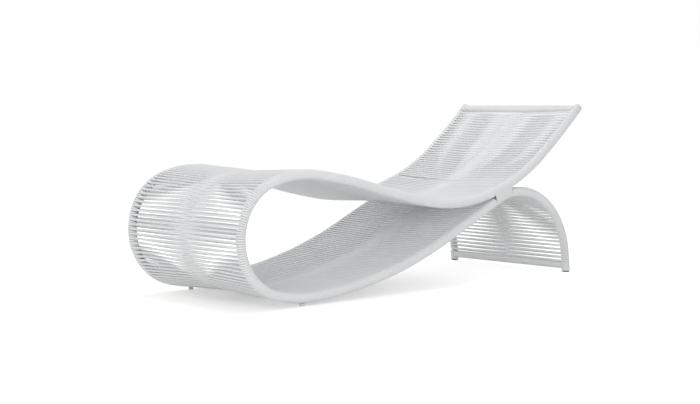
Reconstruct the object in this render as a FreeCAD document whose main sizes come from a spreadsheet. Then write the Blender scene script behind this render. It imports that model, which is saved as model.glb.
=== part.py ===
import FreeCAD, Part
import math
import os

from collections import namedtuple
from FreeCAD import Placement, Rotation, Vector

# Relaxation lounger: two bent side rails, held apart by a bar at each end and wound with one thick cord
# from rail to rail. Millimetres, +Z up, the head end at +X, the left rail at -Y, the floor at z = 0.
# Both rails follow one outline in the XZ plane. A place on it is a distance along its centre line,
# which runs from the head end down the back, over the knee, round the front loop, back under the seat,
# over the rear arch and down the rear leg.

PARTS_FOLDER = "parts"
LEFT = -1
RIGHT = 1
SIDE_NAMES = {LEFT: "left", RIGHT: "right"}
UP = Vector(0, 0, 1)
ACROSS = Vector(0, 1, 0)

# The driving dimensions, in millimetres: the sheet's alias, its value and what it sizes.
SIZES = [
    ("outline_length", 1824.8, "rail centre line, front of the loop to the head end"),
    ("outline_height", 690.4, "rail centre line at the head end, above the floor"),
    ("rail_spacing", 628.0, "between the two rails' centre lines"),
    ("tube_diameter", 20.0, "rail tube, outside"),
    ("tube_wall", 2.0, "wall of the rail tubes"),
    ("sleeve_length", 80.0, "sleeve inside a butt weld of two rail tubes"),
    ("sleeve_wall", 1.5, "wall of those sleeves"),
    ("fit_clearance", 0.3, "between pieces that fit round or inside each other"),
    ("bar_diameter", 31.0, "head and foot bars, outside"),
    ("bar_wall", 2.0, "wall of the two bars"),
    ("fitting_diameter", 35.0, "corner fittings, outside"),
    ("end_wall", 2.5, "closed end of a head fitting"),
    ("end_round", 7.0, "rounded edge of that end"),
    ("head_cover", 35.5, "rail length held in a head fitting"),
    ("head_setback", 15.5, "head bar's axis from the rail's end, along the rail"),
    ("foot_cover", 40.0, "rail length held in a foot fitting"),
    ("foot_lift", 8.0, "foot bar's lowest line above the top of the pads"),
    ("spigot_length", 25.0, "spigot of a corner fitting inside its bar"),
    ("pad_diameter", 28.0, "rear foot pads"),
    ("pad_height", 5.0, "rear foot pads, under the tube"),
    ("pad_stem", 20.0, "stem of a rear pad inside the tube"),
    ("glide_diameter", 18.0, "front glides"),
    ("glide_neck", 5.0, "neck of a front glide, through the tube's lower wall"),
    ("glide_tip", 3.0, "end of that neck inside the tube"),
    ("web_thickness", 6.0, "plate between the two tubes of a side where they pass"),
    ("web_length", 60.0, "that plate, along the tubes"),
    ("cord_diameter", 6.8, "cord"),
    ("turn_gap", 1.4, "between neighbouring turns on a straight rail"),
    ("wind_clearance", 0.3, "between the cord and the tube under it"),
    ("binding_room", 3.0, "extra spacing between the binding and the arch's winding beside it"),
    ("binding_shift", 5.0, "middle of the binding from the tubes' nearest places, towards the seat"),
    ("tuck_radius", 8.0, "bend of a crossing down the inner face of the binding"),
    ("overrun", 5.0, "how far a cutting tool runs past what it cuts"),
]

# The outline's stations: name, share of outline_length, share of outline_height, and heading in degrees
# on an outline drawn one unit long and one unit high. Between two stations lie two tangent arcs.
OUTLINE_SHARES = [
    ("back_top", 1.0000, 1.0000, 246.99),
    ("back_bend", 0.8632, 0.7097, 242.21),
    ("back_low", 0.7458, 0.5481, 222.89),
    ("seat", 0.7183, 0.5232, 221.43),
    ("seat_front", 0.5039, 0.4799, 155.63),
    ("rise", 0.3593, 0.5637, 144.61),
    ("knee", 0.3308, 0.5840, 144.61),
    ("loop_top", 0.1889, 0.6586, 160.92),
    ("loop_front", 0.0744, 0.6289, 221.75),
    ("loop_under", 0.0254, 0.1695, 287.53),
    ("bottom", 0.0899, 0.0640, 327.75),
    ("ramp", 0.1906, 0.0407, 369.01),
    ("ramp_top", 0.5594, 0.2795, 409.79),
    ("arch", 0.7196, 0.4689, 409.79),
    ("leg", 0.9559, 0.1037, 272.00),
]
# The middle of the two front glides, as a share of the outline from the bottom station to the ramp one.
GLIDE_SHARE = 0.571

# Each rail is welded from four tubes, which meet at these stations.
RAIL_TUBES = [
    ("back_seat_rail", "back_top", "knee"),
    ("loop_rail", "knee", "ramp"),
    ("ramp_rail", "ramp", "ramp_top"),
    ("arch_rail", "ramp_top", "foot"),
]
WELDS = [("knee_sleeve", "knee"), ("heel_sleeve", "ramp"), ("ramp_sleeve", "ramp_top")]

# The lengths of cord in each run of the winding, in the order in which they are wound, with the share
# of the run that each takes. Round the loop they are short, so that each is nearly flat.
BACK_SHARES = [("winding_back_upper", 1), ("winding_back_middle", 1), ("winding_back_lower", 1)]
FRONT_SHARES = [
    ("winding_seat_rear", 2),
    ("winding_seat_middle", 2),
    ("winding_seat_front", 2),
    ("winding_thigh", 2),
    ("winding_knee_rear", 2),
    ("winding_knee_front", 2),
    ("winding_crest", 2),
    ("winding_loop_1", 1),
    ("winding_loop_2", 1),
    ("winding_loop_3", 1),
    ("winding_loop_4", 1),
    ("winding_loop_5", 1),
    ("winding_loop_6", 1),
    ("winding_loop_7", 1),
    ("winding_loop_8", 1),
]
RAMP_SHARES = [("winding_ramp_%d" % number, 1) for number in range(1, 7)]
ARCH_SHARES = [
    ("winding_arch_top", 1),
    ("winding_arch_rear", 1),
    ("winding_leg_upper", 1),
    ("winding_leg_lower", 1),
]
# How many times the binding goes twice round both tubes of each side.
BINDING_VISITS = 6

QUARTER = math.pi / 2
# Below these a bend is straight, in radians, and a distance is nothing.
STRAIGHT_TURN = 1e-9
NO_LENGTH = 1e-7
# Points on each arc and on each straight run of a cord, for measuring the gap between its turns.
ARC_POINTS = 13
LINE_POINTS = 21
# A run is measured against the runs of its own figure of eight and of the next two.
RUNS_COMPARED = 44
# The search for the junction: steps along each tube, and rounds that each look closer.
SEARCH_STEPS = 60
SEARCH_ROUNDS = 4


def make_sheet(doc):
    """Fills the sheet of driving dimensions."""
    sheet = doc.addObject("Spreadsheet::Sheet", "Sizes")
    for row, (alias, value, meaning) in enumerate(SIZES, start=1):
        sheet.set("A%d" % row, meaning)
        sheet.set("B%d" % row, str(value))
        sheet.setAlias("B%d" % row, alias)
    doc.recompute()
    return sheet


def bind(item, **sizes):
    """Binds properties of an object to formulas in the sheet's aliases. A number is set as it is."""
    for name, size in sizes.items():
        if isinstance(size, str):
            item.setExpression(name, size)
        else:
            setattr(item, name, size)
    return item


# A straight or round stretch of the outline: the distance at which it begins, its first point, its
# heading there in radians, its curvature and its length.
Stretch = namedtuple("Stretch", "begin x z heading curvature length")


class Outline:
    """The rails' centre line in the XZ plane, a chain of tangent arcs measured along its length."""

    def __init__(self, sheet):
        self.length_scale = sheet.outline_length
        self.height_scale = sheet.outline_height
        self.arcs = []
        self.stations = {}
        self.total = 0.0
        before = None
        for name, along_share, up_share, unit_heading in OUTLINE_SHARES:
            place = (along_share * self.length_scale, up_share * self.height_scale)
            heading = self.true_heading(unit_heading)
            if before:
                self.add_biarc(before[0], before[1], place, heading)
            self.stations[name] = self.total
            before = (place, heading)
        # The leg goes on straight down to the top of its pad, where the tube is cut level.
        (x, z), heading = before
        self.add_arc(x, z, heading, 0.0, (z - sheet.pad_height) / -math.sin(heading))
        self.stations["foot"] = self.total
        self.shift = 0.0

    def true_heading(self, unit_heading):
        """A heading of the unit outline on the outline at its real length and height, in radians."""
        unit = math.radians(unit_heading)
        true = math.atan2(math.sin(unit) * self.height_scale, math.cos(unit) * self.length_scale)
        return true + math.tau * round((unit - true) / math.tau)

    def add_arc(self, x, z, heading, curvature, length):
        self.arcs.append(Stretch(self.total, x, z, heading, curvature, length))
        self.total += length

    def add_arc_to(self, start, heading, end):
        """The arc that leaves start at a heading and reaches end, and the heading it arrives with."""
        chord = math.dist(start, end)
        bearing = math.atan2(end[1] - start[1], end[0] - start[0])
        half_turn = math.remainder(bearing - heading, math.tau)
        if abs(half_turn) < STRAIGHT_TURN:
            self.add_arc(start[0], start[1], heading, 0.0, chord)
            return heading
        curvature = 2 * math.sin(half_turn) / chord
        self.add_arc(start[0], start[1], heading, curvature, chord * half_turn / math.sin(half_turn))
        return heading + 2 * half_turn

    def add_biarc(self, start, heading, end, end_heading):
        """Two tangent arcs with tangents of equal length, from one station to the next."""
        leave = (math.cos(heading), math.sin(heading))
        arrive = (math.cos(end_heading), math.sin(end_heading))
        step = (end[0] - start[0], end[1] - start[1])
        square = 2 * (1 - leave[0] * arrive[0] - leave[1] * arrive[1])
        linear = 2 * (step[0] * (leave[0] + arrive[0]) + step[1] * (leave[1] + arrive[1]))
        reach = step[0] ** 2 + step[1] ** 2
        tangent = reach / linear
        if square > STRAIGHT_TURN:
            tangent = (math.sqrt(linear ** 2 + 4 * square * reach) - linear) / (2 * square)
        joint = tuple(
            (start[axis] + end[axis] + tangent * (leave[axis] - arrive[axis])) / 2 for axis in (0, 1)
        )
        middle_heading = self.add_arc_to(start, heading, joint)
        self.add_arc_to(joint, middle_heading, end)

    def place(self, distance):
        """x, z and heading at a distance along the line, which runs straight on past its ends."""
        arc = self.arcs[0]
        for later in self.arcs:
            if later.begin <= distance:
                arc = later
        run = distance - arc.begin
        turned = arc.heading + arc.curvature * max(run, 0.0)
        if abs(turned - arc.heading) < STRAIGHT_TURN:
            x = arc.x + run * math.cos(arc.heading)
            z = arc.z + run * math.sin(arc.heading)
        else:
            x = arc.x + (math.sin(turned) - math.sin(arc.heading)) / arc.curvature
            z = arc.z + (math.cos(arc.heading) - math.cos(turned)) / arc.curvature
        return x + self.shift, z, turned

    def point(self, distance, across=0.0):
        x, z, heading = self.place(distance)
        return Vector(x, across, z)

    def tangent(self, distance):
        heading = self.place(distance)[2]
        return Vector(math.cos(heading), 0, math.sin(heading))

    def outward(self, distance):
        """The normal that points up from the back and the seat, and away from the loop's middle."""
        heading = self.place(distance)[2]
        return Vector(math.sin(heading), 0, -math.cos(heading))

    def edges(self, begin, end, across):
        """The line between two distances, as straight and arc edges."""
        cuts = [begin]
        cuts += [arc.begin for arc in self.arcs if begin + NO_LENGTH < arc.begin < end - NO_LENGTH]
        cuts.append(end)
        spans = [(first, (first + last) / 2, last) for first, last in zip(cuts, cuts[1:])]
        return [arc_edge(*[self.point(distance, across) for distance in span]) for span in spans]

    def lowest(self):
        """The height of the loop's lowest place, where its heading is level."""
        for arc in self.arcs:
            if arc.heading < math.tau <= arc.heading + arc.curvature * arc.length:
                return arc.z + (math.cos(arc.heading) - 1) / arc.curvature
        raise ValueError("the loop has no level place")


def arc_edge(first, middle, last):
    """The arc through three points, or a straight edge where they lie in line."""
    chord = last - first
    rise = (middle - first).cross(chord).Length / chord.Length
    if rise < NO_LENGTH:
        return Part.LineSegment(first, last).toShape()
    return Part.Arc(first, middle, last).toShape()


def find_junction(line):
    """The closest places of the seat's rail and the rear arch, as distances along the outline."""
    upper = [line.stations["back_bend"], line.stations["rise"]]
    lower = [line.stations["ramp"], line.stations["leg"]]
    for _ in range(SEARCH_ROUNDS):
        uppers = [upper[0] + (upper[1] - upper[0]) * step / SEARCH_STEPS for step in range(SEARCH_STEPS + 1)]
        lowers = [lower[0] + (lower[1] - lower[0]) * step / SEARCH_STEPS for step in range(SEARCH_STEPS + 1)]
        above = [(line.point(distance), distance) for distance in uppers]
        below = [(line.point(distance), distance) for distance in lowers]
        _, at_upper, at_lower = min(
            ((high - low).Length, on_high, on_low) for high, on_high in above for low, on_low in below
        )
        upper_step = (upper[1] - upper[0]) / SEARCH_STEPS
        lower_step = (lower[1] - lower[0]) / SEARCH_STEPS
        upper = [at_upper - 2 * upper_step, at_upper + 2 * upper_step]
        lower = [at_lower - 2 * lower_step, at_lower + 2 * lower_step]
    return at_upper, at_lower


class Cord:
    """A length of cord: a centre line of straight runs and arcs, each tangent to the one before."""

    def __init__(self, start):
        self.end = start
        self.edges = []
        self.traces = []

    def add(self, edge, points):
        self.edges.append(edge)
        self.traces.append(edge.discretize(Number=points))
        self.end = edge.valueAt(edge.LastParameter)

    def line(self, last):
        self.add(Part.LineSegment(self.end, last).toShape(), LINE_POINTS)

    def arc(self, middle, last):
        self.add(arc_edge(self.end, middle, last), ARC_POINTS)

    def biarc(self, leave, last, arrive):
        """Two arcs that leave along one direction and reach a point along another."""
        joint = biarc_joint(self.end, leave, last, arrive)
        self.arc(bulge(self.end, leave, joint), joint)
        self.arc(bulge(last, -arrive, joint), last)

    def least_gap(self, diameter):
        """The least free space between two turns, from points on each run to the runs near it."""
        boxes = [edge.BoundBox for edge in self.edges]
        for box in boxes:
            box.enlarge(diameter)
        least = 2 * diameter
        for first, box in enumerate(boxes):
            for second in range(first + 2, min(first + RUNS_COMPARED, len(boxes))):
                if box.intersect(boxes[second]):
                    least = trace_distance(self.traces[first], self.traces[second], least)
        return least - diameter

    def length(self):
        return sum(edge.Length for edge in self.edges)

    def solid(self, diameter):
        """The tube along the centre line."""
        start = self.traces[0][0]
        along = self.traces[0][1] - start
        section = Part.Wire([Part.Circle(start, along, diameter / 2).toShape()])
        return Part.Wire(self.edges).makePipeShell([section], True, False)


def biarc_joint(start, leave, last, arrive):
    """Where two arcs with tangents of equal length meet, between two points with unit directions."""
    step = last - start
    square = 2 * (1 - leave * arrive)
    linear = 2 * (step * (leave + arrive))
    reach = step * step
    tangent = reach / linear
    if square > STRAIGHT_TURN:
        tangent = (math.sqrt(linear ** 2 + 4 * square * reach) - linear) / (2 * square)
    return (start + last + (leave - arrive) * tangent) / 2


def bulge(start, along, end):
    """The middle of the arc that leaves start along a direction and reaches end."""
    chord = end - start
    sideways = along - chord * ((along * chord) / (chord * chord))
    if sideways.Length < STRAIGHT_TURN:
        return (start + end) / 2
    turn = along.getAngle(chord)
    return (start + end) / 2 + sideways.normalize() * (chord.Length / 2 * math.tan(turn / 2))


def trace_distance(first, second, least):
    """The least distance from the points of one trace to another's straight pieces, if under least."""
    for begin, end in zip(second, second[1:]):
        run = end - begin
        square = run * run
        middle = (begin + end) / 2
        for point in first:
            if (point - middle).Length < least + run.Length / 2:
                share = max(0.0, min(1.0, ((point - begin) * run) / square))
                least = min(least, (point - begin - run * share).Length)
    return least


class Turn:
    """One turn of cord at a side: round one tube, or round two tubes that lie one over the other.

    lower and upper are the tubes' centres in the middle plane, and up is the direction from the inner
    face of the winding to its outer face. The angle of a point round a centre counts from the inward
    direction towards up. A crossing leaves over the upper tube. It reaches a single tube from below.
    At two tubes it bends down the inner face, level with the upper tube's underside.
    """

    def __init__(self, sheet, side, lower, upper, up):
        rail = ACROSS * (side * sheet.rail_spacing / 2)
        self.lower = lower + rail
        self.upper = upper + rail
        self.doubled = (upper - lower).Length > NO_LENGTH
        self.up = up
        self.inward = ACROSS * -side
        self.radius = wind_radius(sheet)
        self.tuck = sheet.tuck_radius
        self.lean = math.asin(2 * self.radius / sheet.rail_spacing)
        if self.doubled:
            drop = self.radius + self.tuck
            width = sheet.rail_spacing - drop
            narrowing = (self.radius - self.tuck) / math.hypot(width, drop)
            self.lean = math.atan2(drop, width) + math.asin(narrowing)

    def around(self, centre, angle):
        return centre + (self.inward * math.cos(angle) + self.up * math.sin(angle)) * self.radius

    def tucked(self, angle):
        """A point of the bend down the inner face of two tubes."""
        centre = self.upper + (self.inward - self.up) * (self.radius + self.tuck)
        return centre + (self.inward * math.cos(angle) + self.up * math.sin(angle)) * self.tuck

    def arrival(self):
        if self.doubled:
            return self.tucked(QUARTER + self.lean)
        return self.around(self.lower, self.lean - QUARTER)

    def departure(self):
        return self.around(self.upper, QUARTER - self.lean)

    def swing(self, cord, centre, begin, end):
        """Lays an arc round one tube between two angles."""
        cord.arc(self.around(centre, (begin + end) / 2), self.around(centre, end))

    def lay_outside(self, cord, begin, end):
        """From under the lower tube, up the outer side and over the upper tube."""
        self.swing(cord, self.lower, begin, -2 * QUARTER)
        if self.doubled:
            cord.line(self.around(self.upper, -2 * QUARTER))
        self.swing(cord, self.upper, -2 * QUARTER, end)

    def lay_in(self, cord):
        """From the crossing that arrives to under the lower tube."""
        if self.doubled:
            cord.arc(self.tucked((3 * QUARTER + self.lean) / 2), self.tucked(2 * QUARTER))
            cord.line(self.around(self.lower, 0))
            self.swing(cord, self.lower, 0, self.lean - QUARTER)

    def lay_inside(self, cord, following):
        """From over the upper tube down the inner side, and on under the lower tube of the next turn."""
        if self.doubled:
            self.swing(cord, self.upper, QUARTER, 0)
            below = following.around(following.upper, 0) - following.up * (self.radius + self.tuck / 2)
            cord.biarc(-self.up, below, -following.up)
            cord.line(following.around(following.lower, 0))
            following.swing(cord, following.lower, 0, -QUARTER)
            return
        low = following.around(following.lower, -QUARTER)
        middle = (cord.end + low) / 2
        tilt = cord.end - middle
        side = self.inward * tilt.Length
        cord.arc(middle + (side + tilt) / math.sqrt(2), middle + side)
        cord.arc(middle + (side - tilt) / math.sqrt(2), low)


def cord_pitch(sheet):
    """Between the centres of neighbouring turns."""
    return sheet.cord_diameter + sheet.turn_gap


def wind_radius(sheet):
    """From a tube's centre line to that of the cord round it."""
    return sheet.tube_diameter / 2 + sheet.wind_clearance + sheet.cord_diameter / 2


def wound_radius(sheet):
    """From a tube's centre line to the outside of the winding."""
    return wind_radius(sheet) + sheet.cord_diameter / 2


def lay_cord(sheet, tubes, begin, pitch, first_side, visits, first_cut=None, last_cut=None):
    """Winds a figure of eight round both sides, from one distance along them on. Each visit to a side
    goes twice round it and crosses over to the other. tubes gives, for a distance, the centres of the
    lower and the upper tube and the direction up. The ends lie on a crossing, so that the next length
    goes on there face to face: one cord diameter from where it touches a side, or at a given place
    across the lounger."""

    def tail(side, distance, cut):
        """The end of the straight crossing to a side."""
        touch = Turn(sheet, side, *tubes(distance)).arrival()
        origin = Turn(sheet, -side, *tubes(distance)).departure()
        if cut is None:
            return touch + (origin - touch).normalize() * sheet.cord_diameter
        return touch + (origin - touch) * ((touch.y - cut) / (touch.y - origin.y))

    cord = Cord(tail(first_side, begin, first_cut))
    cord.line(Turn(sheet, first_side, *tubes(begin)).arrival())
    distance = begin
    side = first_side
    for visit in range(visits):
        turn = Turn(sheet, side, *tubes(distance))
        distance += pitch
        following = Turn(sheet, side, *tubes(distance))
        turn.lay_in(cord)
        turn.lay_outside(cord, turn.lean - QUARTER, -3 * QUARTER)
        turn.lay_inside(cord, following)
        following.lay_outside(cord, -QUARTER, -3 * QUARTER - following.lean)
        side = -side
        if visit < visits - 1:
            cord.line(Turn(sheet, side, *tubes(distance)).arrival())
    cord.line(tail(side, distance, last_cut))
    return cord


def add_winding(doc, sheet, name, cord):
    """A length of cord as an object, with its measures printed."""
    winding = doc.addObject("Part::Feature", name)
    winding.Shape = cord.solid(sheet.cord_diameter)
    winding.Placement = Placement()
    section = math.pi * sheet.cord_diameter ** 2 / 4
    print("%s: least gap to itself %.2f mm, volume %.2f %% of section by length" % (
        name, cord.least_gap(sheet.cord_diameter), 100 * winding.Shape.Volume / (section * cord.length())))
    return winding


def add_run(doc, sheet, line, shares, begin, end, first_side, last_side, first_cut=None, last_cut=None):
    """The lengths of winding on one stretch of the rails, with a pitch that fits the stretch."""
    odd = 1 if first_side == last_side else 0
    visits = 2 * round(((end - begin) / cord_pitch(sheet) - odd) / 2) + odd
    pitch = (end - begin) / visits

    def tubes(distance):
        return line.point(distance), line.point(distance), line.outward(distance)

    windings = []
    whole = sum(share for name, share in shares)
    taken = 0
    for name, share in shares:
        start = round(visits * taken / whole)
        taken += share
        stop = round(visits * taken / whole)
        side = first_side if start % 2 == 0 else -first_side
        cord = lay_cord(sheet, tubes, begin + start * pitch, pitch, side, stop - start,
                        first_cut if start == 0 else None, last_cut if stop == visits else None)
        windings.append(add_winding(doc, sheet, name, cord))
    return windings


def add_windings(doc, sheet, line, seat_place, arch_place):
    """The whole winding: the back, the front from the seat to under the loop, the ramp and the arch,
    and the binding round both tubes where the seat's rail passes over the arch."""
    pitch = cord_pitch(sheet)
    half_binding = BINDING_VISITS * pitch
    seat_middle = seat_place + sheet.binding_shift
    arch_middle = arch_place - sheet.binding_shift
    beside_binding = half_binding + sheet.binding_room
    beside_fitting = sheet.fit_clearance + sheet.cord_diameter / 2
    # The crossings into and out of the binding meet the lengths beside it in the middle. The ramp's
    # last crossing stops short of it.
    middle_cut = sheet.fit_clearance / 2
    ramp_cut = sheet.rail_spacing / 2 - 3 * sheet.cord_diameter
    # One turn is left out on each side for a glide's neck.
    right_glide = find_glide(sheet, line, RIGHT)
    left_glide = find_glide(sheet, line, LEFT)
    foot = line.stations["foot"] - sheet.foot_cover - beside_fitting

    def bound_tubes(offset):
        lower = line.point(arch_middle - offset)
        upper = line.point(seat_middle + offset)
        return lower, upper, (upper - lower).normalize()

    windings = add_run(doc, sheet, line, BACK_SHARES, sheet.head_cover + beside_fitting,
                       seat_middle - half_binding, LEFT, RIGHT, last_cut=middle_cut)
    windings += add_run(doc, sheet, line, FRONT_SHARES, seat_middle + half_binding,
                        right_glide, LEFT, LEFT, first_cut=-middle_cut)
    windings += add_run(doc, sheet, line, RAMP_SHARES, left_glide, arch_middle - beside_binding,
                        RIGHT, LEFT, last_cut=ramp_cut)
    windings += add_run(doc, sheet, line, ARCH_SHARES, arch_middle + beside_binding, foot, RIGHT, LEFT)
    binding = lay_cord(sheet, bound_tubes, -half_binding, pitch, LEFT, 2 * BINDING_VISITS,
                       -middle_cut, middle_cut)
    windings.append(add_winding(doc, sheet, "winding_junction", binding))
    return windings


def find_glide(sheet, line, side):
    """Where a front glide stands, as a distance along the outline. The turns of the two sides lie one
    pitch apart, and so do the glides between them."""
    begin = line.stations["bottom"]
    middle = begin + GLIDE_SHARE * (line.stations["ramp"] - begin)
    return middle - side * cord_pitch(sheet) / 2


def add_cylinder(doc, name, base, along, radius, height):
    """A cylinder from a point along a direction, its radius and height bound to formulas."""
    cylinder = doc.addObject("Part::Cylinder", name)
    cylinder.Placement = Placement(base, Rotation(UP, along))
    return bind(cylinder, Radius=radius, Height=height)


def add_bar(doc, name, line, begin, end, across, radius):
    """A solid round bar along the outline, its radius bound to a formula."""
    path = doc.addObject("Part::Feature", name + "_path")
    path.Shape = Part.Wire(line.edges(begin, end, across))
    path.Placement = Placement()
    section = doc.addObject("Part::Circle", name + "_section")
    section.Placement = Placement(line.point(begin, across), Rotation(UP, line.tangent(begin)))
    bind(section, Radius=radius)
    bar = doc.addObject("Part::Sweep", name)
    bar.Sections = [section]
    bar.Spine = (path, ["Edge%d" % (number + 1) for number in range(len(path.Shape.Edges))])
    bar.Solid = True
    bar.Frenet = False
    return bar


def add_fuse(doc, name, *pieces):
    fused = doc.addObject("Part::MultiFuse", name)
    fused.Shapes = list(pieces)
    return fused


def add_cut(doc, name, base, *tools):
    """The base less each tool in turn. The last cut carries the name."""
    for number, tool in enumerate(tools, start=1):
        cut_name = name if number == len(tools) else "%s_cut_%d" % (name, number)
        cut = doc.addObject("Part::Cut", cut_name)
        cut.Base = base
        cut.Tool = tool
        base = cut
    return base


def add_tube(doc, name, line, begin, end, across, outer, inner, *tools):
    """A tube along the outline with square ends, less any tools."""
    body = add_bar(doc, name + "_outside", line, begin, end, across, outer)
    bore = add_bar(doc, name + "_inside", line, begin, end, across, inner)
    return add_cut(doc, name, body, bore, *tools)


def add_foot_trim(doc, sheet, name, line, across):
    """What cuts a leg level with the top of its pad."""
    foot = line.point(line.stations["foot"], across)
    trim = doc.addObject("Part::Box", name + "_trim")
    reach = sheet.fitting_diameter
    trim.Placement = Placement(foot - Vector(reach, reach, reach), Rotation())
    return bind(trim, Length="2 * Sizes.fitting_diameter", Width="2 * Sizes.fitting_diameter",
                Height="Sizes.fitting_diameter")


def add_rails(doc, sheet, line, side):
    """The four welded tubes of one side rail."""
    rails = []
    across = side * sheet.rail_spacing / 2
    for part_name, first, last in RAIL_TUBES:
        name = "%s_%s" % (part_name, SIDE_NAMES[side])
        begin = line.stations[first]
        end = line.stations[last]
        tools = []
        if part_name == "loop_rail":
            glide = line.point(find_glide(sheet, line, side), across)
            tools.append(add_cylinder(doc, name + "_glide_hole", glide - UP * sheet.tube_diameter, UP,
                                      "Sizes.glide_neck / 2 + Sizes.fit_clearance", "Sizes.tube_diameter"))
        if last == "foot":
            end += sheet.overrun
            tools.append(add_foot_trim(doc, sheet, name, line, across))
        rails.append(add_tube(doc, name, line, begin, end, across, "Sizes.tube_diameter / 2",
                              "Sizes.tube_diameter / 2 - Sizes.tube_wall", *tools))
    return rails


def add_sleeves(doc, sheet, line, side):
    """The sleeves inside the butt welds of one side rail."""
    outer = "Sizes.tube_diameter / 2 - Sizes.tube_wall - Sizes.fit_clearance"
    sleeves = []
    for part_name, station in WELDS:
        weld = line.stations[station]
        sleeves.append(add_tube(doc, "%s_%s" % (part_name, SIDE_NAMES[side]), line,
                                weld - sheet.sleeve_length / 2, weld + sheet.sleeve_length / 2,
                                side * sheet.rail_spacing / 2, outer, outer + " - Sizes.sleeve_wall"))
    return sleeves


def rim_number(shape, centre):
    """The number of the round edge about a point."""
    for number, edge in enumerate(shape.Edges, start=1):
        if isinstance(edge.Curve, Part.Circle) and (edge.Curve.Center - centre).Length < NO_LENGTH:
            return number
    raise ValueError("no round edge there")


def head_bar_place(sheet, line, across):
    return line.point(0, across) + line.tangent(0) * sheet.head_setback


def foot_bar_place(sheet, line, across):
    """On the leg's axis, with the bar a little above the top of the pad."""
    along = line.tangent(line.stations["foot"])
    rise = sheet.foot_lift + sheet.bar_diameter / 2
    return line.point(line.stations["foot"], across) + along * (rise / along.z)


def add_spigot(doc, name, place, side):
    """The peg of a corner fitting that holds a crossbar."""
    return add_cylinder(doc, name + "_spigot", place, ACROSS * -side,
                        "Sizes.bar_diameter / 2 - Sizes.bar_wall - Sizes.fit_clearance",
                        "Sizes.fitting_diameter / 2 + Sizes.spigot_length")


def add_head_fitting(doc, sheet, line, side):
    """A closed socket over a rail's head end, with a rounded end and a peg for the head bar."""
    name = "head_fitting_" + SIDE_NAMES[side]
    across = side * sheet.rail_spacing / 2
    along = line.tangent(0)
    rail_end = line.point(0, across)
    outer_end = rail_end - along * sheet.end_wall
    barrel = add_cylinder(doc, name + "_barrel", outer_end, along, "Sizes.fitting_diameter / 2",
                          "Sizes.end_wall + Sizes.head_cover")
    doc.recompute()
    rounded = doc.addObject("Part::Fillet", name + "_rounded")
    rounded.Base = barrel
    rounded.Edges = [(rim_number(barrel.Shape, outer_end), sheet.end_round, sheet.end_round)]
    spigot = add_spigot(doc, name, head_bar_place(sheet, line, across), side)
    socket = add_cylinder(doc, name + "_socket", rail_end, along,
                          "Sizes.tube_diameter / 2 + Sizes.fit_clearance",
                          "Sizes.head_cover + Sizes.overrun")
    return add_cut(doc, name, add_fuse(doc, name + "_solid", rounded, spigot), socket)


def add_foot_fitting(doc, sheet, line, side):
    """A collar round a leg's end, cut level with the pad, with a peg for the foot bar."""
    name = "foot_fitting_" + SIDE_NAMES[side]
    across = side * sheet.rail_spacing / 2
    along = line.tangent(line.stations["foot"])
    top = line.point(line.stations["foot"] - sheet.foot_cover, across)
    barrel = add_cylinder(doc, name + "_barrel", top, along, "Sizes.fitting_diameter / 2",
                          "Sizes.foot_cover + Sizes.overrun")
    spigot = add_spigot(doc, name, foot_bar_place(sheet, line, across), side)
    socket = add_cylinder(doc, name + "_socket", top - along * sheet.overrun, along,
                          "Sizes.tube_diameter / 2 + Sizes.fit_clearance",
                          "Sizes.foot_cover + 3 * Sizes.overrun")
    trim = add_foot_trim(doc, sheet, name, line, across)
    return add_cut(doc, name, add_fuse(doc, name + "_solid", barrel, spigot), socket, trim)


def add_crossbar(doc, sheet, name, place, along):
    """A tube from rail to rail, its ends hollowed to fit round the corner fittings. place gives the bar's
    axis at a distance across, and along is the rails' direction there."""
    left_end = place(-sheet.rail_spacing / 2)
    body = add_cylinder(doc, name + "_outside", left_end, ACROSS, "Sizes.bar_diameter / 2",
                        "Sizes.rail_spacing")
    bore = add_cylinder(doc, name + "_inside", left_end - ACROSS * sheet.overrun, ACROSS,
                        "Sizes.bar_diameter / 2 - Sizes.bar_wall", "Sizes.rail_spacing + 2 * Sizes.overrun")
    hollows = [
        add_cylinder(doc, "%s_hollow_%s" % (name, SIDE_NAMES[side]),
                     place(side * sheet.rail_spacing / 2) - along * sheet.bar_diameter, along,
                     "Sizes.fitting_diameter / 2 + Sizes.fit_clearance", "2 * Sizes.bar_diameter")
        for side in (LEFT, RIGHT)
    ]
    return add_cut(doc, name, body, bore, *hollows)


def add_crossbars(doc, sheet, line):
    return [
        add_crossbar(doc, sheet, "head_crossbar", lambda across: head_bar_place(sheet, line, across),
                     line.tangent(0)),
        add_crossbar(doc, sheet, "foot_crossbar", lambda across: foot_bar_place(sheet, line, across),
                     line.tangent(line.stations["foot"])),
    ]


def add_web(doc, sheet, line, side, seat_place, arch_place):
    """The plate welded between the two tubes of a side where they pass, hollowed to fit both."""
    name = "junction_web_" + SIDE_NAMES[side]
    across = side * sheet.rail_spacing / 2
    upper = line.point(seat_place, across)
    lower = line.point(arch_place, across)
    turned = Rotation(Vector(1, 0, 0), line.tangent(arch_place))
    half = Vector(sheet.web_length, sheet.web_thickness, (upper - lower).Length) / 2
    plate = doc.addObject("Part::Box", name + "_plate")
    plate.Placement = Placement((upper + lower) / 2 - turned.multVec(half), turned)
    bind(plate, Length="Sizes.web_length", Width="Sizes.web_thickness", Height=(upper - lower).Length)
    clear = "Sizes.tube_diameter / 2 + Sizes.fit_clearance"
    over = add_bar(doc, name + "_over", line, seat_place - sheet.web_length,
                   seat_place + sheet.web_length, across, clear)
    under = add_bar(doc, name + "_under", line, arch_place - sheet.web_length,
                    arch_place + sheet.web_length, across, clear)
    return add_cut(doc, name, plate, over, under)


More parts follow.
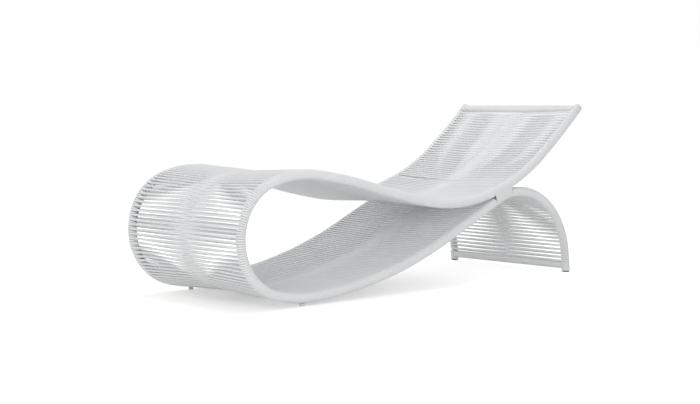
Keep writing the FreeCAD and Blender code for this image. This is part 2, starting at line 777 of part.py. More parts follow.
def add_pad(doc, sheet, line, side):
    """A rear foot pad: a disc on the floor and a stem up the leg's tube."""
    name = "foot_pad_" + SIDE_NAMES[side]
    foot = line.point(line.stations["foot"], side * sheet.rail_spacing / 2)
    along = line.tangent(line.stations["foot"])
    disc = add_cylinder(doc, name + "_disc", Vector(foot.x, foot.y, 0), UP, "Sizes.pad_diameter / 2",
                        "Sizes.pad_height")
    stem = add_cylinder(doc, name + "_stem", foot + along * (sheet.pad_height / 2), -along,
                        "Sizes.tube_diameter / 2 - Sizes.tube_wall - Sizes.fit_clearance",
                        "Sizes.pad_height / 2 + Sizes.pad_stem")
    return add_fuse(doc, name, disc, stem)


def add_glide(doc, sheet, line, side):
    """A front glide: a disc on the floor under the winding, and a neck up into the loop's tube."""
    name = "front_glide_" + SIDE_NAMES[side]
    rail = line.point(find_glide(sheet, line, side), side * sheet.rail_spacing / 2)
    floor = Vector(rail.x, rail.y, 0)
    disc = add_cylinder(doc, name + "_disc", floor, UP, "Sizes.glide_diameter / 2",
                        line.lowest() - wound_radius(sheet) - sheet.fit_clearance)
    neck = add_cylinder(doc, name + "_neck", floor, UP, "Sizes.glide_neck / 2",
                        rail.z - sheet.tube_diameter / 2 + sheet.tube_wall + sheet.glide_tip)
    return add_fuse(doc, name, disc, neck)


def centre_outline(sheet, line):
    """Shifts the outline so that the lounger's middle lies at x = 0."""
    slope = line.place(0)[2] - math.pi
    head_reach = (
        (sheet.end_wall - sheet.end_round) * math.cos(slope)
        + (sheet.fitting_diameter / 2 - sheet.end_round) * math.sin(slope)
        + sheet.end_round
    )
    line.shift = (wound_radius(sheet) - head_reach - sheet.outline_length) / 2


def check(doc, subparts):
    """Stops if an object failed, or if a sub-part has no sound solid."""
    for item in doc.Objects:
        if "Invalid" in item.State or "Error" in item.State:
            raise RuntimeError("%s failed: %s" % (item.Label, item.State))
    for item in subparts:
        if item.Shape.isNull() or not item.Shape.isValid() or not item.Shape.Solids:
            raise RuntimeError("%s has no valid solid" % item.Label)


def main():
    doc = FreeCAD.newDocument("relaxation_lounger")
    sheet = make_sheet(doc)
    line = Outline(sheet)
    centre_outline(sheet, line)
    seat_place, arch_place = find_junction(line)
    subparts = []
    for side in (LEFT, RIGHT):
        subparts += add_rails(doc, sheet, line, side)
        subparts += add_sleeves(doc, sheet, line, side)
        subparts.append(add_head_fitting(doc, sheet, line, side))
        subparts.append(add_foot_fitting(doc, sheet, line, side))
        subparts.append(add_web(doc, sheet, line, side, seat_place, arch_place))
        subparts.append(add_pad(doc, sheet, line, side))
        subparts.append(add_glide(doc, sheet, line, side))
    subparts += add_crossbars(doc, sheet, line)
    subparts += add_windings(doc, sheet, line, seat_place, arch_place)
    doc.recompute()
    check(doc, subparts)
    os.makedirs(PARTS_FOLDER, exist_ok=True)
    for item in subparts:
        item.Shape.exportStep(os.path.join(PARTS_FOLDER, item.Label + ".step"))


main()
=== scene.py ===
"""The looks of a relaxation lounger: two bent side rails wound with one thick white cord.

Metres, +Z up, the head end at +X, the left rail at -Y, the floor at z = 0. The rails' outline and the
places of the winding are those of the part's source, repeated here in millimetres.
"""

import math

import bpy
from collections import namedtuple
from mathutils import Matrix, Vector


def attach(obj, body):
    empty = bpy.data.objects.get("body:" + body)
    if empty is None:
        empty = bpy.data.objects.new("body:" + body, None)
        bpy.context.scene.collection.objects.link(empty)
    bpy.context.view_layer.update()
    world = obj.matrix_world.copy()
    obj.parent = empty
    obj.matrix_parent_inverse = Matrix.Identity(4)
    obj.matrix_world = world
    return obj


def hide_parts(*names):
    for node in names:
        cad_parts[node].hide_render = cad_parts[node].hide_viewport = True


MM = 0.001
LEFT = -1
RIGHT = 1
ACROSS = Vector((0, 1, 0))

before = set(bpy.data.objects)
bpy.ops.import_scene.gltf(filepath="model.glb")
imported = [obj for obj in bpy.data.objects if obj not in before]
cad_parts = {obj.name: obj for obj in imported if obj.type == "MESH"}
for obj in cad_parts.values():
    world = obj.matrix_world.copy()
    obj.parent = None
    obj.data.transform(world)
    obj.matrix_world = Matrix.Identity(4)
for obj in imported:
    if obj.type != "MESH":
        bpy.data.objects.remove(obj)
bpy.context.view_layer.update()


def add_object(name, data):
    thing = bpy.data.objects.new(name, data)
    bpy.context.scene.collection.objects.link(thing)
    return thing


# The rails' outline, in millimetres.

OUTLINE_LENGTH = 1824.8
OUTLINE_HEIGHT = 690.4
OUTLINE_SHIFT = -909.162
RAIL_SPACING = 628.0
PAD_HEIGHT = 5.0

# Name, share of the length, share of the height, and heading on an outline one unit long and high.
OUTLINE_SHARES = [
    ("back_top", 1.0000, 1.0000, 246.99),
    ("back_bend", 0.8632, 0.7097, 242.21),
    ("back_low", 0.7458, 0.5481, 222.89),
    ("seat", 0.7183, 0.5232, 221.43),
    ("seat_front", 0.5039, 0.4799, 155.63),
    ("rise", 0.3593, 0.5637, 144.61),
    ("knee", 0.3308, 0.5840, 144.61),
    ("loop_top", 0.1889, 0.6586, 160.92),
    ("loop_front", 0.0744, 0.6289, 221.75),
    ("loop_under", 0.0254, 0.1695, 287.53),
    ("bottom", 0.0899, 0.0640, 327.75),
    ("ramp", 0.1906, 0.0407, 369.01),
    ("ramp_top", 0.5594, 0.2795, 409.79),
    ("arch", 0.7196, 0.4689, 409.79),
    ("leg", 0.9559, 0.1037, 272.00),
]
# The middle of the front glides, as a share of the outline from the bottom station to the ramp one.
GLIDE_SHARE = 0.571
# Below this a bend is straight, in radians.
STRAIGHT_TURN = 1e-9

Stretch = namedtuple("Stretch", "begin x z heading curvature length")


class Outline:
    """The rails' centre line in the XZ plane: two tangent arcs between each two stations."""

    def __init__(self):
        self.arcs = []
        self.stations = {}
        self.total = 0.0
        before = None
        for name, along, up, unit_heading in OUTLINE_SHARES:
            place = (along * OUTLINE_LENGTH, up * OUTLINE_HEIGHT)
            unit = math.radians(unit_heading)
            true = math.atan2(math.sin(unit) * OUTLINE_HEIGHT, math.cos(unit) * OUTLINE_LENGTH)
            heading = true + math.tau * round((unit - true) / math.tau)
            if before:
                self.add_biarc(*before, place, heading)
            self.stations[name] = self.total
            before = (place, heading)
        (x, z), heading = before
        self.add_arc(x, z, heading, 0.0, (z - PAD_HEIGHT) / -math.sin(heading))
        self.stations["foot"] = self.total

    def add_arc(self, x, z, heading, curvature, length):
        self.arcs.append(Stretch(self.total, x, z, heading, curvature, length))
        self.total += length

    def add_arc_to(self, start, heading, end):
        """Adds the arc that leaves start at a heading and reaches end, and returns the heading it
        arrives with."""
        chord = math.dist(start, end)
        bearing = math.atan2(end[1] - start[1], end[0] - start[0])
        half_turn = math.remainder(bearing - heading, math.tau)
        if abs(half_turn) < STRAIGHT_TURN:
            self.add_arc(*start, heading, 0.0, chord)
            return heading
        self.add_arc(*start, heading, 2 * math.sin(half_turn) / chord,
                     chord * half_turn / math.sin(half_turn))
        return heading + 2 * half_turn

    def add_biarc(self, start, heading, end, end_heading):
        """Two arcs with tangents of equal length, from one station to the next."""
        leave = (math.cos(heading), math.sin(heading))
        arrive = (math.cos(end_heading), math.sin(end_heading))
        step = (end[0] - start[0], end[1] - start[1])
        square = 2 * (1 - leave[0] * arrive[0] - leave[1] * arrive[1])
        linear = 2 * (step[0] * (leave[0] + arrive[0]) + step[1] * (leave[1] + arrive[1]))
        reach = step[0] ** 2 + step[1] ** 2
        tangent = reach / linear
        if square > STRAIGHT_TURN:
            tangent = (math.sqrt(linear ** 2 + 4 * square * reach) - linear) / (2 * square)
        joint = [(start[axis] + end[axis] + tangent * (leave[axis] - arrive[axis])) / 2
                 for axis in (0, 1)]
        middle_heading = self.add_arc_to(start, heading, joint)
        self.add_arc_to(joint, middle_heading, end)

    def place(self, distance):
        """The point at a distance along the line, and the direction from the tube to the winding's
        outer face: up from the back and the seat, and away from the loop's middle."""
        arc = [arc for arc in self.arcs if arc.begin <= max(distance, 0.0)][-1]
        run = distance - arc.begin
        turned = arc.heading + arc.curvature * max(run, 0.0)
        if abs(turned - arc.heading) < STRAIGHT_TURN:
            x = arc.x + run * math.cos(arc.heading)
            z = arc.z + run * math.sin(arc.heading)
        else:
            x = arc.x + (math.sin(turned) - math.sin(arc.heading)) / arc.curvature
            z = arc.z + (math.cos(arc.heading) - math.cos(turned)) / arc.curvature
        point = Vector((x + OUTLINE_SHIFT, 0, z))
        return point, Vector((math.sin(turned), 0, -math.cos(turned)))


line = Outline()

# The cord's places, in millimetres. The cord is thicker than the part's, whose turns keep apart.

CORD_DIAMETER = 7.9
TURN_PITCH = 8.2
WINDING_RADIUS = 13.7
TUCK_RADIUS = 8.0
SEAT_MIDDLE = 601.96
ARCH_MIDDLE = 3566.11
BINDING_VISITS = 12
BINDING_ROOM = 3.0
HEAD_START = 39.2
FOOT_END = 43.7

# A visit of the cord to one side rail: it goes one and a half times round the rail and crosses to the
# other. At its begin and its end it has the centres of the tubes it goes round, lower and upper, and
# the way up.
Visit = namedtuple("Visit", "side begin end")
Place = namedtuple("Place", "lower upper up")


def rail_place(distance):
    point, up = line.place(distance)
    return Place(point, point, up)


def bound_place(offset):
    """Beside the place where the seat's tube passes over the rear arch: round both tubes."""
    lower = line.place(ARCH_MIDDLE - offset)[0]
    upper = line.place(SEAT_MIDDLE + offset)[0]
    return Place(lower, upper, (upper - lower).normalized())


def lay_visits(place, begin, end, first_side, last_side):
    """The visits of one run, with one more before its first and one after its last."""
    odd = int(first_side == last_side)
    count = 2 * round(((end - begin) / TURN_PITCH - odd) / 2) + odd
    pitch = (end - begin) / count
    return [Visit(first_side if number % 2 == 0 else -first_side,
                  place(begin + number * pitch), place(begin + (number + 1) * pitch))
            for number in range(-1, count + 1)]


def glide_place(side):
    begin = line.stations["bottom"]
    middle = begin + GLIDE_SHARE * (line.stations["ramp"] - begin)
    return middle - side * TURN_PITCH / 2


half_binding = BINDING_VISITS * TURN_PITCH / 2
beside_binding = half_binding + BINDING_ROOM
back = lay_visits(rail_place, HEAD_START, SEAT_MIDDLE - half_binding, LEFT, RIGHT)
binding = lay_visits(bound_place, -half_binding, half_binding, LEFT, RIGHT)
front = lay_visits(rail_place, SEAT_MIDDLE + half_binding, glide_place(RIGHT), LEFT, LEFT)
ramp = lay_visits(rail_place, glide_place(LEFT), ARCH_MIDDLE - beside_binding, RIGHT, LEFT)
arch = lay_visits(rail_place, ARCH_MIDDLE + beside_binding, line.stations["foot"] - FOOT_END,
                  RIGHT, LEFT)

# The cord goes on from the back through the binding to the seat, and past the glides to the ramp.
for earlier, later in ((back, binding), (binding, front), (front, ramp)):
    earlier[-1] = later[1]
    later[0] = earlier[-2]

# Each run's visits, and its lengths with the share of the run that each takes.
RUNS = [
    (back, [("back_upper", 1), ("back_middle", 1), ("back_lower", 1)]),
    (binding, [("junction", 1)]),
    (front, [("seat_rear", 2), ("seat_middle", 2), ("seat_front", 2), ("thigh", 2), ("knee_rear", 2),
             ("knee_front", 2), ("crest", 2), ("loop_1", 1), ("loop_2", 1), ("loop_3", 1),
             ("loop_4", 1), ("loop_5", 1), ("loop_6", 1), ("loop_7", 1), ("loop_8", 1)]),
    (ramp, [("ramp_1", 1), ("ramp_2", 1), ("ramp_3", 1), ("ramp_4", 1), ("ramp_5", 1),
            ("ramp_6", 1)]),
    (arch, [("arch_top", 1), ("arch_rear", 1), ("leg_upper", 1), ("leg_lower", 1)]),
]

# The materials.


def srgb(code):
    """The linear colour of an sRGB hex code."""
    channels = [int(code[place:place + 2], 16) / 255 for place in (1, 3, 5)]
    return [value / 12.92 if value <= 0.04045 else ((value + 0.055) / 1.055) ** 2.4
            for value in channels] + [1.0]


def clear_tree(owner):
    """The node tree of a material or a world, emptied."""
    owner.use_nodes = True
    owner.node_tree.nodes.clear()
    return owner.node_tree


def add_node(tree, kind, settings=None, **links):
    """Adds a node, sets its properties, and sets or links its inputs by name. A name that ends in a
    number, such as Vector_1, is that input among those of the same name. A node given as a value
    stands for its first output."""
    node = tree.nodes.new(kind)
    for name, value in (settings or {}).items():
        setattr(node, name, value)
    for name, value in links.items():
        words, _, number = name.rpartition("_")
        if not number.isdigit():
            words, number = name, 0
        words = words.replace("_", " ")
        named = [socket for socket in node.inputs if socket.name == words and socket.enabled]
        socket = named[int(number)]
        if isinstance(value, bpy.types.Node):
            value = next(output for output in value.outputs if output.enabled)
        if isinstance(value, bpy.types.NodeSocket):
            tree.links.new(value, socket)
        else:
            socket.default_value = value
    return node


def make_finish(name, low, high, patch, roughness, grain, depth, **sockets):
    """A finish whose colour drifts between two hex codes in patches, and whose grain raises the surface
    and sways its roughness. Patch, grain and depth are in millimetres."""
    material = bpy.data.materials.new(name)
    tree = clear_tree(material)
    coordinates = add_node(tree, "ShaderNodeTexCoord").outputs["Object"]
    patches = add_node(tree, "ShaderNodeTexNoise", Vector=coordinates, Scale=1 / (patch * MM), Detail=3.0)
    colour = add_node(tree, "ShaderNodeMix", {"data_type": "RGBA"}, Factor=patches, A=srgb(low),
                      B=srgb(high))
    grains = add_node(tree, "ShaderNodeTexNoise", Vector=coordinates, Scale=1 / (grain * MM), Detail=2.0)
    sway = add_node(tree, "ShaderNodeMapRange", Value=grains, To_Min=roughness[0], To_Max=roughness[1])
    raised = add_node(tree, "ShaderNodeBump", Height=grains, Distance=depth * MM)
    shader = add_node(tree, "ShaderNodeBsdfPrincipled", Base_Color=colour, Roughness=sway, Normal=raised,
                      **sockets)
    add_node(tree, "ShaderNodeOutputMaterial", Surface=shader)
    return material


# Extruded soft vinyl: satin white, a little uneven in tone, with a faint orange peel.
cord_finish = make_finish("extruded_vinyl", "#EBECEE", "#F2F3F4", 90, (0.38, 0.5), 1.5, 0.05, IOR=1.53)
# Powder-coated steel: an even matt white film with a fine orange peel, coarser here than the real one
# so that it shows.
tube_finish = make_finish("powder_coat_tube", "#D9DBDB", "#E1E3E3", 60, (0.46, 0.54), 1.2, 0.04, IOR=1.5)
# Painted light: the bars and the fittings have the tubes' powder coat, painted a little brighter to stand
# in for the brighter light on them. They are also a little smoother than the hidden tubes.
painted_lit_bar_finish = make_finish("powder_coat_bar_painted_lit", "#E4E6E7", "#EBECED", 60, (0.4, 0.48), 1.2, 0.04, IOR=1.5)
painted_lit_fitting_finish = make_finish("powder_coat_fitting_painted_lit", "#E3E5E6", "#EAEBEC", 60, (0.4, 0.48), 1.2, 0.04,
                             IOR=1.5)
# Moulded rubber: matt dark grey, dusty in places, with a fine grain.
pad_finish = make_finish("moulded_rubber", "#4A4B4D", "#5E5F61", 12, (0.7, 0.85), 0.8, 0.08, IOR=1.52)
# Moulded nylon: milky white and a little waxy.
glide_finish = make_finish("moulded_nylon", "#DCDCD8", "#E8E8E5", 8, (0.4, 0.5), 1.0, 0.05, IOR=1.53,
                           Subsurface_Weight=0.1, Subsurface_Scale=2 * MM)

# The wound cord.

# The points of a visit, and those of them that lie on the bend down the inner face, at two tubes.
STEPS = 48
TUCK_STEPS = 6
# The angle where that bend has gone over into the turns.
TUCK_END = -0.01
# The angle where the cord starts to move on along the rail, and where a visit ends but for its lean.
MOVE_START = -1.5 * math.pi
VISIT_END = -3.5 * math.pi
# How much of its last turn the cord takes to move on, at one tube and at two.
MOVE_SHARES = (1.0, 0.5)

WINDING_INPUTS = [
    ("Rail Spacing", "Float", RAIL_SPACING * MM),
    ("Winding Radius", "Float", WINDING_RADIUS * MM),
    ("Cord Diameter", "Float", CORD_DIAMETER * MM),
    ("Sides", "Int", 12),
    ("Steps", "Int", STEPS),
    ("First Side", "Float", 1.0),
    ("First Tail", "Float", CORD_DIAMETER * MM),
    ("Last Tail", "Float", CORD_DIAMETER * MM),
    ("Drift", "Float", 0.6 * MM),
    ("Drift Scale", "Float", 9.0),
    ("Seed", "Float", 3.0),
    ("Material", "Material", None),
]


def visit_shape(doubled):
    """The points of the cord on a visit, one for each step: how far inward and how far up from the
    tube's centre in winding radii, whether that tube is the upper one, and how much of the visit's way
    along the rail is done. Angles count from the inward direction towards up. The cord goes one and a
    half times round and moves on over its inner face. A crossing leaves over the upper tube. It reaches
    a single tube from below. At two tubes it bends down the inner face, level with the upper tube's
    underside."""
    shape = []
    lean = math.asin(2 * WINDING_RADIUS / RAIL_SPACING)
    start = lean - math.pi / 2
    if doubled:
        tuck = TUCK_RADIUS / WINDING_RADIUS
        drop = WINDING_RADIUS + TUCK_RADIUS
        lean = math.atan2(drop, RAIL_SPACING - drop) + (1 - tuck) * WINDING_RADIUS / RAIL_SPACING
        for step in range(TUCK_STEPS):
            angle = math.pi / 2 + lean + (math.pi / 2 - lean) * step / TUCK_STEPS
            shape.append((1 + tuck + tuck * math.cos(angle), tuck * math.sin(angle) - 1 - tuck,
                          1.0, 0.0))
        start = TUCK_END
    steps = STEPS - len(shape)
    for step in range(steps):
        angle = start + (VISIT_END - lean - start) * step / (steps - 1)
        way = min(max(MOVE_START - angle, 0.0) / (math.pi * MOVE_SHARES[doubled]), 1.0)
        shape.append((math.cos(angle), math.sin(angle), float(math.sin(angle) > 0),
                      way * way * (3 - 2 * way)))
    return shape


def winding_tree():
    """Winds a cord in figures of eight round both rails. The first points of the mesh it gets are a
    visit's shape: inward, moved on and up as their place, and "on_upper". Two points for each visit
    follow, with the lower tube's centre as their place, the upper tube's as "upper" and the way up as
    "up". The first and the last visit only give the crossings to them, of which tails are kept."""
    tree = bpy.data.node_groups.new("Wound cord", "GeometryNodeTree")
    inputs = {}
    tree.interface.new_socket("Geometry", in_out="INPUT", socket_type="NodeSocketGeometry")
    for name, kind, value in WINDING_INPUTS:
        socket = tree.interface.new_socket(name, in_out="INPUT", socket_type="NodeSocket" + kind)
        socket.default_value = value
        inputs[name] = socket.identifier
    tree.interface.new_socket("Geometry", in_out="OUTPUT", socket_type="NodeSocketGeometry")
    given = add_node(tree, "NodeGroupInput").outputs
    mesh = given["Geometry"]
    steps = given["Steps"]
    vector = {"data_type": "FLOAT_VECTOR"}
    math_node = "ShaderNodeMath"

    # One point of the cord for each step of each visit, and one on each side of them.
    points = add_node(tree, "GeometryNodeAttributeDomainSize", Geometry=mesh)
    places = add_node(tree, math_node, {"operation": "SUBTRACT"}, Value_0=points, Value_1=steps)
    visits = add_node(tree, math_node, {"operation": "MULTIPLY_ADD"}, Value_0=places, Value_1=0.5,
                      Value_2=-2.0)
    count = add_node(tree, math_node, {"operation": "MULTIPLY_ADD"}, Value_0=visits, Value_1=steps,
                     Value_2=2.0)
    start = add_node(tree, "GeometryNodeCurvePrimitiveLine")
    path = add_node(tree, "GeometryNodeResampleCurve", Curve=start, Count=count)
    index = add_node(tree, "GeometryNodeInputIndex")
    before = add_node(tree, math_node, {"operation": "ADD"}, Value_0=index, Value_1=steps)
    number = add_node(tree, math_node, {"operation": "SUBTRACT"}, Value_0=before, Value_1=1.0)
    middle = add_node(tree, math_node, {"operation": "ADD"}, Value_0=number, Value_1=0.5)
    passed = add_node(tree, math_node, {"operation": "DIVIDE"}, Value_0=middle, Value_1=steps)
    visit = add_node(tree, math_node, {"operation": "FLOOR"}, Value_0=passed)
    step = add_node(tree, math_node, {"operation": "FLOORED_MODULO"}, Value_0=number, Value_1=steps)
    begin = add_node(tree, math_node, {"operation": "MULTIPLY_ADD"}, Value_0=visit, Value_1=2.0,
                     Value_2=steps)
    end = add_node(tree, math_node, {"operation": "ADD"}, Value_0=begin, Value_1=1.0)

    # The visit's shape at the step, and the tubes' places as far as the cord has moved on.
    position = add_node(tree, "GeometryNodeInputPosition")
    flag = add_node(tree, "GeometryNodeInputNamedAttribute", {"data_type": "FLOAT"}, Name="on_upper")
    shape = add_node(tree, "GeometryNodeSampleIndex", vector, Geometry=mesh, Value=position, Index=step)
    on_upper = add_node(tree, "GeometryNodeSampleIndex", {"data_type": "FLOAT"}, Geometry=mesh,
                        Value=flag, Index=step)
    shape = add_node(tree, "ShaderNodeSeparateXYZ", Vector=shape).outputs
    tubes = {"lower": position}
    for name in ("upper", "up"):
        tubes[name] = add_node(tree, "GeometryNodeInputNamedAttribute", vector, Name=name)
    for name, value in tubes.items():
        ends = [add_node(tree, "GeometryNodeSampleIndex", vector, Geometry=mesh, Value=value, Index=place)
                for place in (begin, end)]
        tubes[name] = add_node(tree, "ShaderNodeMix", {"data_type": "VECTOR"}, Factor=shape["Y"],
                               A=ends[0], B=ends[1])
    centre = add_node(tree, "ShaderNodeMix", {"data_type": "VECTOR"}, Factor=on_upper, A=tubes["lower"],
                      B=tubes["upper"])

    # Out from the middle plane to the rail and back in to the point, and up from the tube's centre.
    parity = add_node(tree, math_node, {"operation": "FLOORED_MODULO"}, Value_0=visit, Value_1=2.0)
    swap = add_node(tree, math_node, {"operation": "MULTIPLY_ADD"}, Value_0=parity, Value_1=-2.0,
                    Value_2=1.0)
    side = add_node(tree, math_node, {"operation": "MULTIPLY"}, Value_0=swap,
                    Value_1=given["First Side"])
    rail = add_node(tree, math_node, {"operation": "MULTIPLY"}, Value_0=given["Rail Spacing"],
                    Value_1=0.5)
    inward = add_node(tree, math_node, {"operation": "MULTIPLY"}, Value_0=given["Winding Radius"],
                      Value_1=shape["X"])
    reach = add_node(tree, math_node, {"operation": "SUBTRACT"}, Value_0=rail, Value_1=inward)
    sideways = add_node(tree, math_node, {"operation": "MULTIPLY"}, Value_0=side, Value_1=reach)
    across = add_node(tree, "ShaderNodeCombineXYZ", Y=sideways)
    rise = add_node(tree, math_node, {"operation": "MULTIPLY"}, Value_0=given["Winding Radius"],
                    Value_1=shape["Z"])
    lift = add_node(tree, "ShaderNodeVectorMath", {"operation": "SCALE"}, Vector=tubes["up"], Scale=rise)
    out = add_node(tree, "ShaderNodeVectorMath", {"operation": "ADD"}, Vector_0=centre, Vector_1=across)
    place = add_node(tree, "ShaderNodeVectorMath", {"operation": "ADD"}, Vector_0=out, Vector_1=lift)

    # A smooth drift, its own for each visit, so that no two turns lie quite alike.
    own = add_node(tree, math_node, {"operation": "ADD"}, Value_0=visit, Value_1=given["Seed"])
    noise = add_node(tree, "ShaderNodeTexNoise", {"noise_dimensions": "4D"}, Vector=place, W=own,
                     Scale=given["Drift Scale"], Detail=0.0).outputs["Color"]
    sway = add_node(tree, "ShaderNodeVectorMath", {"operation": "SUBTRACT"}, Vector_0=noise,
                    Vector_1=(0.5, 0.5, 0.5))
    drift = add_node(tree, "ShaderNodeVectorMath", {"operation": "SCALE"}, Vector=sway,
                     Scale=given["Drift"])
    laid = add_node(tree, "GeometryNodeSetPosition", Geometry=path, Position=place, Offset=drift)

    # The crossings to the first visit and from the last are cut back to their tails.
    first, second = [add_node(tree, "GeometryNodeSampleIndex", vector, Geometry=laid, Value=position,
                              Index=number) for number in (0, 1)]
    crossing = add_node(tree, "ShaderNodeVectorMath", {"operation": "DISTANCE"}, Vector_0=first,
                        Vector_1=second).outputs["Value"]
    whole = add_node(tree, "GeometryNodeCurveLength", Curve=laid)
    cut_first = add_node(tree, math_node, {"operation": "SUBTRACT"}, Value_0=crossing,
                         Value_1=given["First Tail"])
    cut_last = add_node(tree, math_node, {"operation": "SUBTRACT"}, Value_0=whole,
                        Value_1=given["Last Tail"])
    trimmed = add_node(tree, "GeometryNodeTrimCurve", {"mode": "LENGTH"}, Curve=laid, Start_0=cut_first,
                       End_0=cut_last)
    half = add_node(tree, math_node, {"operation": "MULTIPLY"}, Value_0=given["Cord Diameter"],
                    Value_1=0.5)
    section = add_node(tree, "GeometryNodeCurvePrimitiveCircle", Resolution=given["Sides"], Radius=half)
    tube = add_node(tree, "GeometryNodeCurveToMesh", Curve=trimmed, Profile_Curve=section, Fill_Caps=True)
    smooth = add_node(tree, "GeometryNodeSetShadeSmooth", Geometry=tube)
    real = add_node(tree, "GeometryNodeRealizeInstances", Geometry=smooth)
    finished = add_node(tree, "GeometryNodeSetMaterial", Geometry=real, Material=given["Material"])
    add_node(tree, "NodeGroupOutput", Geometry=finished)
    return tree, inputs


def wind_cord(tree, inputs, name, visits, shape, last_tail):
    """A length of the cord, from the visit after the first to the one before the last."""
    places = [place for visit in visits for place in (visit.begin, visit.end)]
    mesh = bpy.data.meshes.new(name + "_places")
    corners = [(inward, moved, up) for inward, up, on_upper, moved in shape]
    mesh.from_pydata(corners + [place.lower * MM for place in places], [], [])
    nothing = [0.0] * len(shape)
    uppers = 3 * nothing + [value * MM for place in places for value in place.upper]
    ups = 3 * nothing + [value for place in places for value in place.up]
    on_upper = [point[2] for point in shape] + [0.0] * len(places)
    for label, kind, field, values in (("upper", "FLOAT_VECTOR", "vector", uppers),
                                       ("up", "FLOAT_VECTOR", "vector", ups),
                                       ("on_upper", "FLOAT", "value", on_upper)):
        mesh.attributes.new(label, kind, "POINT").data.foreach_set(field, values)
    carrier = add_object(name + "_carrier", mesh)
    modifier = carrier.modifiers.new("Wound cord", "NODES")
    modifier.node_group = tree
    modifier[inputs["First Side"]] = float(visits[0].side)
    modifier[inputs["Last Tail"]] = last_tail * MM
    modifier[inputs["Steps"]] = len(shape)
    modifier[inputs["Material"]] = cord_finish
    wound = bpy.data.meshes.new_from_object(carrier.evaluated_get(bpy.context.evaluated_depsgraph_get()))
    carrier.modifiers.remove(modifier)
    bpy.data.objects.remove(carrier)
    wound.name = name
    return add_object(name, wound)


# The ramp's last crossing stops short of the binding.
LAST_RAMP_TAIL = 3 * CORD_DIAMETER

tree, inputs = winding_tree()
for run, shares in RUNS:
    shape = visit_shape(run is binding)
    laid = len(run) - 2
    whole = sum(share for part_name, share in shares)
    taken = 0
    for part_name, share in shares:
        first = round(laid * taken / whole)
        taken += share
        last = round(laid * taken / whole)
        tail = LAST_RAMP_TAIL if part_name == "ramp_6" else CORD_DIAMETER
        piece = wind_cord(tree, inputs, "cord_" + part_name, run[first:last + 2], shape, tail)
        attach(piece, "root")
        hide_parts("winding_" + part_name)

# At a glide the part leaves a turn out for the neck. Here a turn fills that space and stops on both
# sides of the neck.
GLIDE_NECK = 5.0
NECK_ROOM = 0.5
TURN_STEPS = 40


def glide_turn(side, name):
    """A single turn round a rail, open at the glide's neck, which stands on the winding's outer side."""
    point, up = line.place(glide_place(side))
    rail = point + side * RAIL_SPACING / 2 * ACROSS
    opening = math.asin((GLIDE_NECK / 2 + NECK_ROOM) / WINDING_RADIUS)
    curve = bpy.data.curves.new(name + "_path", "CURVE")
    curve.dimensions = "3D"
    curve.bevel_depth = CORD_DIAMETER / 2 * MM
    curve.use_fill_caps = True
    spline = curve.splines.new("POLY")
    spline.points.add(TURN_STEPS)
    for step, corner in enumerate(spline.points):
        angle = opening + (math.tau - 2 * opening) * step / TURN_STEPS
        place = rail + WINDING_RADIUS * (math.cos(angle) * up + math.sin(angle) * ACROSS)
        corner.co = (*(place * MM), 1)
    path = bpy.data.objects.new(name + "_path", curve)
    mesh = bpy.data.meshes.new_from_object(path)
    bpy.data.objects.remove(path)
    mesh.name = name
    mesh.materials.clear()
    mesh.materials.append(cord_finish)
    mesh.shade_smooth()
    return add_object(name, mesh)


for side, name in ((LEFT, "cord_glide_turn_left"), (RIGHT, "cord_glide_turn_right")):
    piece = glide_turn(side, name)
    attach(piece, "root")

# The finishes of the nodes that are carried over.

NODE_FINISHES = [
    (("back_seat_rail", "loop_rail", "ramp_rail", "arch_rail", "knee_sleeve", "heel_sleeve",
      "ramp_sleeve", "junction_web"), tube_finish),
    # The bars and the fittings get the coat painted brighter for the light on them.
    (("head_crossbar", "foot_crossbar"), painted_lit_bar_finish),
    (("head_fitting", "foot_fitting"), painted_lit_fitting_finish),
    (("foot_pad",), pad_finish),
    (("front_glide",), glide_finish),
]

for starts, finish in NODE_FINISHES:
    for name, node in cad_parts.items():
        if name.startswith(starts):
            for slot in node.material_slots:
                slot.material = finish

# The floor, the light and the camera.

FLOOR_REACH = 40.0
FLOOR_WHITE = "#F4F4F2"
NEAR_GLOW = 0.37
FAR_GLOW = 0.52
# Where the floor is dimmest, and where its glow starts to rise and is full.
LOOP_PLACE = (-0.75, 0, 0)
DIM_REACH = 0.5
BRIGHT_REACH = 1.2
SKY_LIGHT = 0.56

floor_material = bpy.data.materials.new("pale_floor")
floor_tree = clear_tree(floor_material)
# The floor is a plain matt white that shows the object's soft shadow. To the camera and to reflections
# it also glows, so that it reads as white where nothing shades it.
floor_paths = add_node(floor_tree, "ShaderNodeLightPath").outputs
floor_seen = add_node(floor_tree, "ShaderNodeMath", {"operation": "MAXIMUM"},
                      Value_0=floor_paths["Is Camera Ray"], Value_1=floor_paths["Is Glossy Ray"])
# It glows least round the loop, which keeps its shadow there.
floor_places = add_node(floor_tree, "ShaderNodeTexCoord").outputs["Object"]
floor_distance = add_node(floor_tree, "ShaderNodeVectorMath", {"operation": "DISTANCE"},
                          Vector_0=floor_places, Vector_1=LOOP_PLACE).outputs["Value"]
floor_need = add_node(floor_tree, "ShaderNodeMapRange", Value=floor_distance, From_Min=DIM_REACH,
                      From_Max=BRIGHT_REACH, To_Min=NEAR_GLOW, To_Max=FAR_GLOW)
floor_level = add_node(floor_tree, "ShaderNodeMath", {"operation": "MULTIPLY"}, Value_0=floor_seen,
                       Value_1=floor_need)
floor_glow = add_node(floor_tree, "ShaderNodeEmission", Color=(1, 1, 1, 1), Strength=floor_level)
floor_paint = add_node(floor_tree, "ShaderNodeBsdfDiffuse", Color=srgb(FLOOR_WHITE))
floor_total = add_node(floor_tree, "ShaderNodeAddShader", Shader_0=floor_paint, Shader_1=floor_glow)
add_node(floor_tree, "ShaderNodeOutputMaterial", Surface=floor_total)

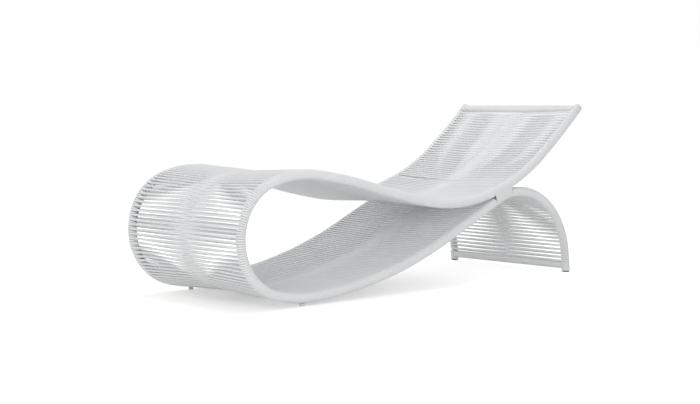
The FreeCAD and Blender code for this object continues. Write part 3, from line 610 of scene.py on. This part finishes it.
floor_mesh = bpy.data.meshes.new("floor")
floor_mesh.from_pydata([(-FLOOR_REACH, -FLOOR_REACH, 0), (FLOOR_REACH, -FLOOR_REACH, 0),
                        (FLOOR_REACH, FLOOR_REACH, 0), (-FLOOR_REACH, FLOOR_REACH, 0)], [], [(0, 1, 2, 3)])
floor_mesh.materials.append(floor_material)
add_object("floor", floor_mesh)

# An even sky, white to the camera and dimmer as a light.
world = bpy.data.worlds.new("studio")
sky_tree = clear_tree(world)
sky_paths = add_node(sky_tree, "ShaderNodeLightPath").outputs
sky_seen = add_node(sky_tree, "ShaderNodeMath", {"operation": "MAXIMUM"},
                    Value_0=sky_paths["Is Camera Ray"], Value_1=sky_paths["Is Transmission Ray"])
sky_level = add_node(sky_tree, "ShaderNodeMapRange", Value=sky_seen, To_Min=SKY_LIGHT, To_Max=1.0)
sky = add_node(sky_tree, "ShaderNodeBackground", Color=(1, 1, 1, 1), Strength=sky_level)
add_node(sky_tree, "ShaderNodeOutputWorld", Surface=sky)
bpy.context.scene.world = world

# Each softbox's name, place, the point it faces, width in metres and power in watts.
SOFTBOXES = [
    ("top_softbox", (0.0, 0.0, 4.0), (0, 0, 0.3), 3.0, 36),
    ("front_softbox", (-3.6, -3.2, 0.9), (0, 0, 0.25), 3.0, 62),
    ("rear_softbox", (-0.6, 4.2, 0.9), (0, 0, 0.2), 3.0, 68),
]

for name, place, target, width, power in SOFTBOXES:
    lamp = bpy.data.lights.new(name, "AREA")
    lamp.shape = "SQUARE"
    lamp.size = width
    lamp.energy = power
    softbox = add_object(name, lamp)
    softbox.location = place
    softbox.rotation_euler = (Vector(target) - Vector(place)).to_track_quat("-Z", "Y").to_euler()

CAMERA_PLACE = (-3.8640, -3.9592, 0.6986)
CAMERA_TILT = 90 - 3.944
CAMERA_TURN = -43.483
FOCAL_LENGTH = 72.45
SENSOR_WIDTH = 36.0
SIGHT_REACH = 200.0

camera = add_object("camera", bpy.data.cameras.new("camera"))
camera.data.lens = FOCAL_LENGTH
camera.data.sensor_width = SENSOR_WIDTH
camera.data.clip_end = SIGHT_REACH
camera.location = CAMERA_PLACE
camera.rotation_euler = (math.radians(CAMERA_TILT), 0, math.radians(CAMERA_TURN))
bpy.context.scene.camera = camera
bpy.context.scene.view_settings.view_transform = "Standard"
